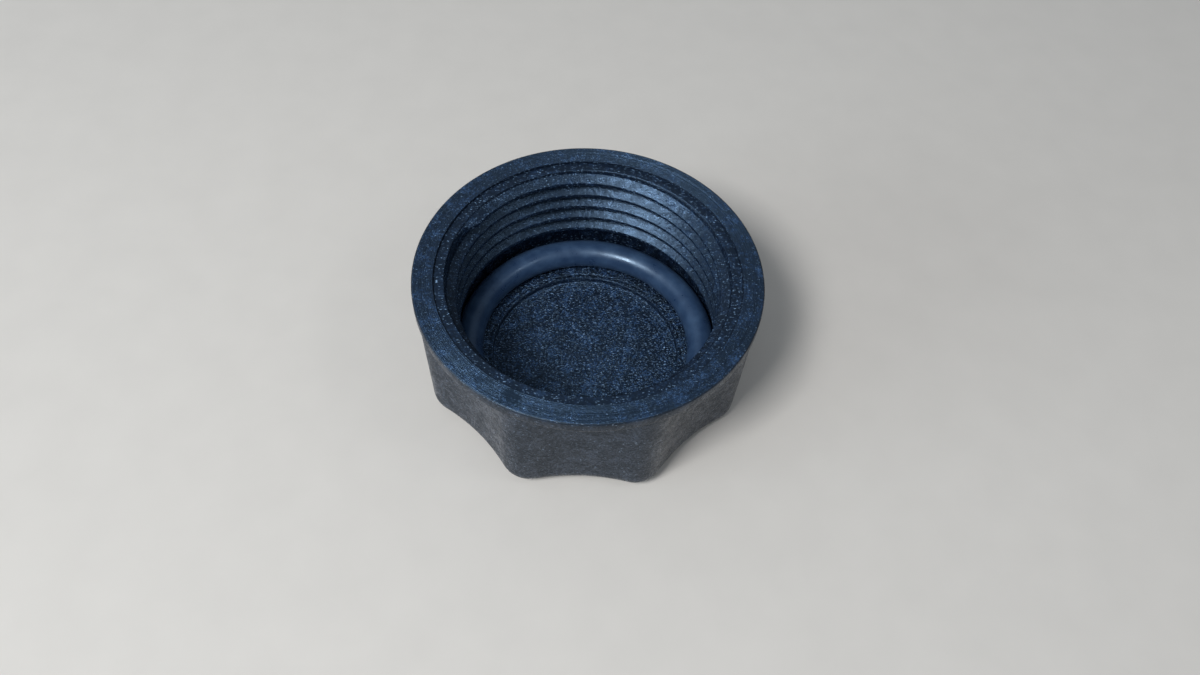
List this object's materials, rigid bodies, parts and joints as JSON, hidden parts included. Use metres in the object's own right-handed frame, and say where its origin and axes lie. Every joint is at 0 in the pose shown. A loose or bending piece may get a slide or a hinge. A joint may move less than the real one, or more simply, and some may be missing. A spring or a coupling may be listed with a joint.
{
  "type": "oil filler cap",
  "caption": "Round screw cap with a lobed grip, an internal thread and a rubber sealing ring on its floor, lying open on its head.",
  "frame": {"origin": "on the cap's axis, at the outer flat face of its head", "axes": "+Z along the axis, out of the threaded mouth; +X through the middle of one hollow of the grip"},
  "size_m": [0.062, 0.062, 0.027],
  "materials": {
    "cap_nylon": "moulded black glass-filled nylon, matt",
    "seal_rubber": "smooth satin black nitrile rubber"
  },
  "bodies": {
    "root": {"cap_body": "cap_nylon", "sealing_ring": "seal_rubber"}
  },
  "joints": []
}
